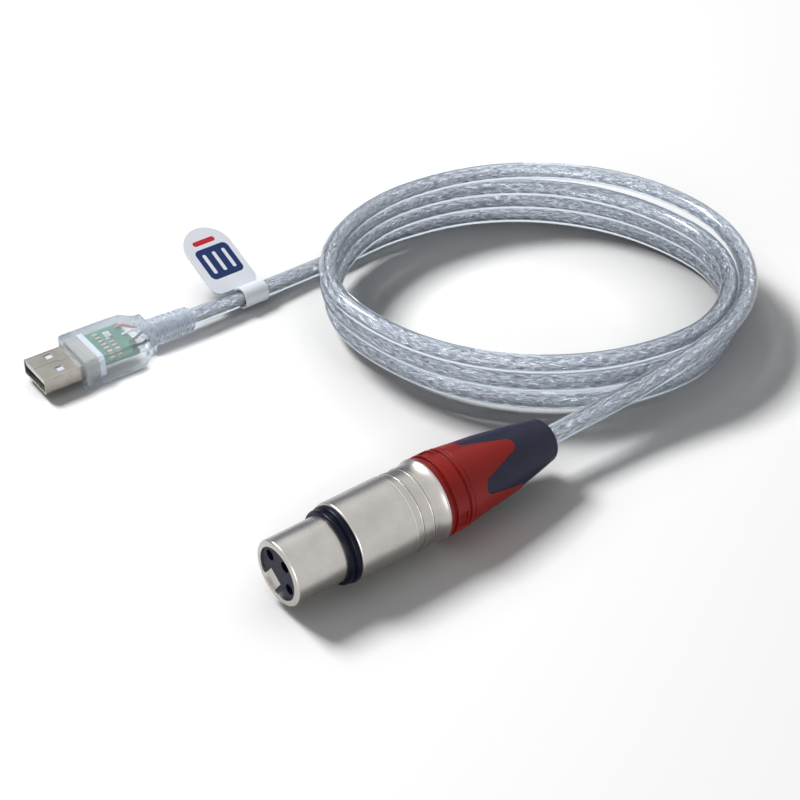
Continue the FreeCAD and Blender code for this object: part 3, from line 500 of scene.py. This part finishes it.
nickel = mouldedLook("satin_nickel", {
    "plain": {"Metallic": 1.0},
    "grainScale": 5200, "grainDepth": 0.03 * mm, "roughness": (0.26, 0.38), "bump": 0.5, "softEdge": 0.12,
}, nickelWithPaintedStepLight)
sealRubber = mouldedLook("seal_rubber", {
    "plain": {"Specular IOR Level": 0.14},
    "colours": ((0.002, 0.003, 0.012), (0.003, 0.004, 0.017)), "patchScale": 300,
    "grainScale": 3000, "grainDepth": 0.02 * mm, "roughness": (0.26, 0.38), "softEdge": 0.3,
})
bootRubber = mouldedLook("boot_rubber", {
    "plain": {"Specular IOR Level": 0.3},
    "colours": ((0.006, 0.007, 0.026), (0.010, 0.012, 0.036)), "patchScale": 220,
    "grainScale": 4200, "grainDepth": 0.03 * mm, "roughness": (0.42, 0.58), "softEdge": 0.3,
})
redPlastic = mouldedLook("red_plastic", {
    "plain": {"Specular IOR Level": 0.3},
    "colours": ((0.24, 0.006, 0.004), (0.30, 0.009, 0.005)), "patchScale": 180,
    "grainScale": 3600, "grainDepth": 0.02 * mm, "roughness": (0.36, 0.48), "softEdge": 0.3,
})
blackInsert = mouldedLook("insert_plastic", {
    "plain": {"Specular IOR Level": 0.12},
    "colours": ((0.003, 0.004, 0.016), (0.005, 0.006, 0.022)), "patchScale": 300,
    "grainScale": 3600, "grainDepth": 0.02 * mm, "roughness": (0.30, 0.45),
})
silverContact = mouldedLook("silver_contact", {
    "plain": {"Metallic": 1.0}, "colours": ((0.60, 0.58, 0.54), (0.75, 0.73, 0.69)), "patchScale": 500,
    "grainScale": 5000, "grainDepth": 0.01 * mm, "roughness": (0.2, 0.35), "softEdge": 0.05,
})
springSteel = mouldedLook("spring_steel", {
    "plain": {"Metallic": 1.0}, "colours": ((0.42, 0.42, 0.43), (0.55, 0.55, 0.56)), "patchScale": 400,
    "grainScale": 5000, "grainDepth": 0.01 * mm, "roughness": (0.2, 0.34), "softEdge": 0.08,
})


# Places on the plug in millimetres: along it from its mouth, across it, and up
def plugPlace(mat, where):
    origin = plugFrame.translation
    return addNode(mat, "Mapping", {
        "Vector": where, "Location": tuple(origin), "Rotation": (0, 0, plugTurn),
        "Scale": (mm, mm, mm)}, vector_type="TEXTURE").outputs["Vector"]


steel = {
    "bare": ((0.37, 0.35, 0.315), (0.43, 0.41, 0.375)),
    "patchScale": 260,
    "seam": (((3.4, 0.25), (3.6, 0.07)), ((7.0, -0.1), (0.07, 0.42)), ((9.6, -0.45), (2.7, 0.07))),
    "seamCorner": 0.02,
    "seamColour": (0.10, 0.10, 0.11),
    "upperFace": 2.0,              # what is higher than this over the plug's middle
}


def steelColour(mat, where):  # bare steel with the folded sheet's stepped seam on its upper face
    on = plugPlace(mat, where)
    bare = patchyColour(mat, where, steel["patchScale"], steel["bare"])
    seam = 0
    for centre, half in steel["seam"]:
        seam = combine(mat, "MAXIMUM", seam, boxMask(mat, on, centre, half, steel["seamCorner"]))
    height = addNode(mat, "SeparateXYZ", {"Vector": on}).outputs["Z"]
    seam = combine(mat, "MULTIPLY", seam, combine(mat, "GREATER_THAN", height, steel["upperFace"]))
    return blendColours(mat, seam, bare, (*steel["seamColour"], 1))


plugSteel = mouldedLook("plug_steel", {
    "plain": {"Metallic": 1.0}, "grainScale": 5200, "grainDepth": 0.01 * mm, "roughness": (0.24, 0.34),
    "softEdge": 0.12,
}, steelColour)
whitePlastic = mouldedLook("white_plastic", {
    "colours": ((0.72, 0.76, 0.86), (0.80, 0.84, 0.92)), "patchScale": 300,
    "grainScale": 3000, "grainDepth": 0.01 * mm, "roughness": (0.3, 0.42), "softEdge": 0.05,
})
goldStrip = mouldedLook("gold_strip", {
    "plain": {"Metallic": 1.0}, "colours": ((0.72, 0.50, 0.20), (0.80, 0.58, 0.26)), "patchScale": 600,
    "grainScale": 5000, "grainDepth": 0.01 * mm, "roughness": (0.18, 0.3), "softEdge": 0.03,
})
chipBlack = mouldedLook("chip_black", {
    "colours": ((0.014, 0.014, 0.015), (0.024, 0.024, 0.026)), "patchScale": 700,
    "grainScale": 6000, "grainDepth": 0.02 * mm, "roughness": (0.45, 0.6), "softEdge": 0.05,
})
partBeige = mouldedLook("part_beige", {
    "colours": ((0.42, 0.36, 0.29), (0.55, 0.48, 0.40)), "patchScale": 700,
    "grainScale": 6000, "grainDepth": 0.01 * mm, "roughness": (0.35, 0.5), "softEdge": 0.03,
})
boardGreen = mouldedLook("board_green", {
    "plain": {"Coat Weight": 0.4, "Coat Roughness": 0.15},
    "colours": ((0.004, 0.11, 0.055), (0.02, 0.27, 0.15)), "patchScale": 1100,
    "grainScale": 3000, "grainDepth": 0.01 * mm, "roughness": (0.25, 0.4), "softEdge": 0.03,
})
coreColours = {
    "black": ((0.01, 0.01, 0.012), (0.018, 0.018, 0.02)),
    "white": ((0.75, 0.75, 0.76), (0.83, 0.83, 0.84)),
    "red": ((0.55, 0.012, 0.02), (0.68, 0.02, 0.03)),
}
for colourName, colours in coreColours.items():
    core = mouldedLook("core_" + colourName, {
        "colours": colours, "patchScale": 500,
        "grainScale": 3000, "grainDepth": 0.01 * mm, "roughness": (0.28, 0.4), "softEdge": 0.03,
    })
    giveMaterial(core, "socket_core_" + colourName, "board_wire_" + colourName)

tag = {
    "ringX": 62.9,
    "tilt": 26.0,                  # degrees that the flag stands up from the floor
    "sideStep": -2.6,              # the flag's middle from the ring's, along the cable
    "white": ((0.86, 0.90, 0.98), (0.90, 0.94, 1.0)),
    "patchScale": 200,
    "navy": (0.006, 0.026, 0.13),
    "red": (0.62, 0.018, 0.035),
    "panel": ((0.3, 13.0), (5.4, 5.2), 1.6),
    "bars": ((-2.9, 13.0), (0.3, 13.0), (3.5, 13.0)),
    "barHalf": (0.55, 3.4),
    "barCorner": 0.5,
    "band": ((-0.2, 20.3), (3.6, 0.8), 0.8),
}


def tagColour(mat, where):  # plain white film with a navy panel, three pale bars and a red band
    before, after = onPlugAxis(cable["straightX"]), Vector(cable["bend"])
    run = (after - before).normalized()
    middle = before + run * ((tag["ringX"] - before.x) / run.x)
    across = Vector((0, 0, 1)).cross(run).normalized()
    tilt = Matrix.Rotation(math.radians(tag["tilt"]), 3, run)
    outward = tilt @ across
    axes = Matrix((run, outward, run.cross(outward))).transposed()
    middle = middle + run * tag["sideStep"]
    on = addNode(mat, "Mapping", {
        "Vector": where, "Location": tuple(middle * mm), "Rotation": tuple(axes.to_euler()),
        "Scale": (mm, mm, mm)}, vector_type="TEXTURE").outputs["Vector"]
    film = patchyColour(mat, where, tag["patchScale"], tag["white"])
    design = blendColours(mat, boxMask(mat, on, *tag["panel"]), film, (*tag["navy"], 1))
    for bar in tag["bars"]:
        design = blendColours(mat, boxMask(mat, on, bar, tag["barHalf"], tag["barCorner"]), design, film)
    return blendColours(mat, boxMask(mat, on, *tag["band"]), design, (*tag["red"], 1))


tagFilm = mouldedLook("tag_film", {
    "plain": {"Specular IOR Level": 0.3},
    "grainScale": 2500, "grainDepth": 0.01 * mm, "roughness": (0.35, 0.48), "softEdge": 0.05,
}, tagColour)
tagRing = mouldedLook("tag_ring_film", {
    "plain": {"Specular IOR Level": 0.3}, "colours": tag["white"], "patchScale": tag["patchScale"],
    "grainScale": 2500, "grainDepth": 0.01 * mm, "roughness": (0.35, 0.48), "softEdge": 0.1,
})
reliefLook = mouldedLook("clear_relief", {
    "plain": {"Transmission Weight": 0.8, "IOR": 1.45},
    "colours": ((0.68, 0.74, 0.81), (0.76, 0.81, 0.87)), "patchScale": 300,
    "grainScale": 1500, "grainDepth": 0.005 * mm, "roughness": (0.10, 0.16), "softEdge": 0.1,
})

# The black insert as it is packed, with its face brought forward, almost level with the nose's rim
insert = {
    "face": 1.8 * mm,
    "faceSlack": 0.3 * mm,         # how far behind the face its ring of corners may lie
    "forward": 1.4 * mm,
}
bm = bmesh.new()
bm.from_mesh(parts["contact_insert"].data)
bmesh.ops.remove_doubles(bm, verts=bm.verts, dist=mergeGap)
faceRing = [v for v in bm.verts if v.co.x < insert["face"] + insert["faceSlack"]]
bmesh.ops.translate(bm, vec=(-insert["forward"], 0, 0), verts=faceRing)
finishPiece("insert_body", bm, blackInsert, "interface", ("contact_insert",),
            smooth=False)
giveMaterial(nickel, "connector_shell")
giveMaterial(sealRubber, "nose_seal")
giveMaterial(blackInsert, "cable_chuck")
giveMaterial(silverContact, "contact_1", "contact_2", "contact_3", "crystal")
giveMaterial(springSteel, "latch_lever", "latch_pin", "latch_spring")
giveMaterial(redPlastic, "gland_nut")
giveMaterial(bootRubber, "gland_boot")
giveMaterial(plugSteel, "usb_shell")
giveMaterial(whitePlastic, "usb_tongue", "contact_carrier")
giveMaterial(goldStrip, "usb_contact_strips")
giveMaterial(reliefLook, "strain_relief")
giveMaterial(boardGreen, "circuit_board")
giveMaterial(chipBlack, "controller_chip", "line_driver_chip")
giveMaterial(partBeige, "chip_parts")
giveMaterial(tagFilm, "tag_flag")
giveMaterial(tagRing, "tag_ring")
parts["strain_relief"].visible_shadow = False
print("finishes given")

stageLook = {
    "centre": (0.08, 0.05),        # of the floor, and what the lamps aim at
    "floorZ": -10.2 * mm,
    "floorHalf": 3.0,
    "floorColour": 0.80,           # for light that bounces off it
    "seenColour": 1.2,             # for the view itself
    "nearShade": 0.45,             # how dark the painted shade turns the floor close under things
    "nearOpen": 0.25,              # the open share of the sky at which it is that dark
    "nearReach": 26 * mm,
    "middle": (0.086, 0.058, 0),   # of the object on the floor
    "fade": (0.17, 0.36),          # from here to here off the middle, the floor turns plain white
    "fadedBounce": 0.3,            # how much light that white part gives off, where it isn't seen
    "ambient": 0.08,
}
lamps = {
    "key": {"place": (-0.12, 0.65, 0.75), "size": 0.30, "power": 9.4},
    "fill": {"place": (-0.62, -0.72, 0.24), "size": 0.6, "power": 4.2},
    "top": {"place": (-0.35, 0.10, 0.9), "size": 0.5, "power": 0.25},
}

bm = bmesh.new()
bmesh.ops.create_grid(bm, x_segments=2, y_segments=2, size=stageLook["floorHalf"],
                      matrix=Matrix.Translation((*stageLook["centre"], stageLook["floorZ"])))
floorMesh = bpy.data.meshes.new("floor")
bm.to_mesh(floorMesh)
bm.free()
floor = link(bpy.data.objects.new("floor", floorMesh))


# 1 for the view itself, for mirrors and for what shows through clear plastic, 0 once light has scattered
def seenDirectly(mat):
    path = addNode(mat, "LightPath")
    direct = combine(mat, "MAXIMUM", path.outputs["Is Camera Ray"], path.outputs["Is Glossy Ray"])
    direct = combine(mat, "MAXIMUM", direct, path.outputs["Is Transmission Ray"])
    unscattered = combine(mat, "LESS_THAN", path.outputs["Diffuse Depth"], 0.5)
    return combine(mat, "MULTIPLY", direct, unscattered)


floorMat = bpy.data.materials.new("pale_floor")
floorMat.use_nodes = True
floorMat.node_tree.nodes.clear()
seen = seenDirectly(floorMat)
floorTone = spread(floorMat, seen, stageLook["floorColour"], stageLook["seenColour"], 0, 1)
# Painted shade: ambient occlusion darkens the floor's colour close under things
near = addNode(floorMat, "AmbientOcclusion", {"Distance": stageLook["nearReach"]}, samples=12).outputs["AO"]
paintedShade = spread(floorMat, near, stageLook["nearShade"], 1.0, stageLook["nearOpen"], 1.0)
floorTone = combine(floorMat, "MULTIPLY", floorTone, paintedShade)
paint = addNode(floorMat, "BsdfDiffuse", {"Color": floorTone})
glowStrength = spread(floorMat, seen, stageLook["fadedBounce"], 1.0, 0, 1)
glow = addNode(floorMat, "Emission", {"Strength": glowStrength})
floorPlace = addNode(floorMat, "TexCoord").outputs["Object"]
away = addNode(floorMat, "VectorMath", {0: floorPlace, 1: stageLook["middle"]}, operation="DISTANCE")
backdropShare = spread(floorMat, away.outputs["Value"], 0, 1, *stageLook["fade"])
blend = addNode(floorMat, "MixShader", {0: backdropShare, 1: paint.outputs[0], 2: glow.outputs[0]})
addNode(floorMat, "OutputMaterial", {"Surface": blend.outputs[0]})
floorMesh.materials.append(floorMat)

# A dark card stands behind, which only mirrors see, so that round metal keeps its dark band
card = {
    "place": (0.08, 1.0, 0.31),
    "half": (1.3, 0.31),
    "colour": (0.10, 0.12, 0.19),
}
bm = bmesh.new()
bmesh.ops.create_grid(bm, x_segments=1, y_segments=1, size=1.0, matrix=Matrix.Translation(card["place"])
                      @ Matrix.Rotation(fullTurn / 4, 4, "X") @ Matrix.Diagonal((*card["half"], 1, 1)))
cardMesh = bpy.data.meshes.new("card")
bm.to_mesh(cardMesh)
bm.free()
cardMesh.materials.append(newMaterial("dark_card", {
    "Base Color": (0, 0, 0, 1), "Specular IOR Level": 0.0, "Emission Color": (*card["colour"], 1),
    "Emission Strength": 1.0,
})[0])
cardObject = link(bpy.data.objects.new("card", cardMesh))
cardObject.visible_camera = cardObject.visible_diffuse = False
cardObject.visible_transmission = cardObject.visible_shadow = False

world = bpy.data.worlds.new("studio")
world.use_nodes = True
bpy.context.scene.world = world
backdrop = world.node_tree.nodes["Background"]
backdrop.inputs["Color"].default_value = (1, 1, 1, 1)
skyStrength = spread(world, seenDirectly(world), stageLook["ambient"], 1.0, 0, 1)
plugIn(world, skyStrength, backdrop.inputs["Strength"])

for name, lamp in lamps.items():
    light = bpy.data.lights.new(name, "AREA")
    light.shape = "SQUARE"
    light.size = lamp["size"]
    light.energy = lamp["power"]
    holder = link(bpy.data.objects.new(name, light))
    holder.location = lamp["place"]
    aim = Vector((*stageLook["centre"], 0)) - holder.location
    holder.rotation_euler = aim.to_track_quat("-Z", "Y").to_euler()

bpy.context.scene.view_settings.view_transform = "Standard"
print("floor and light set")
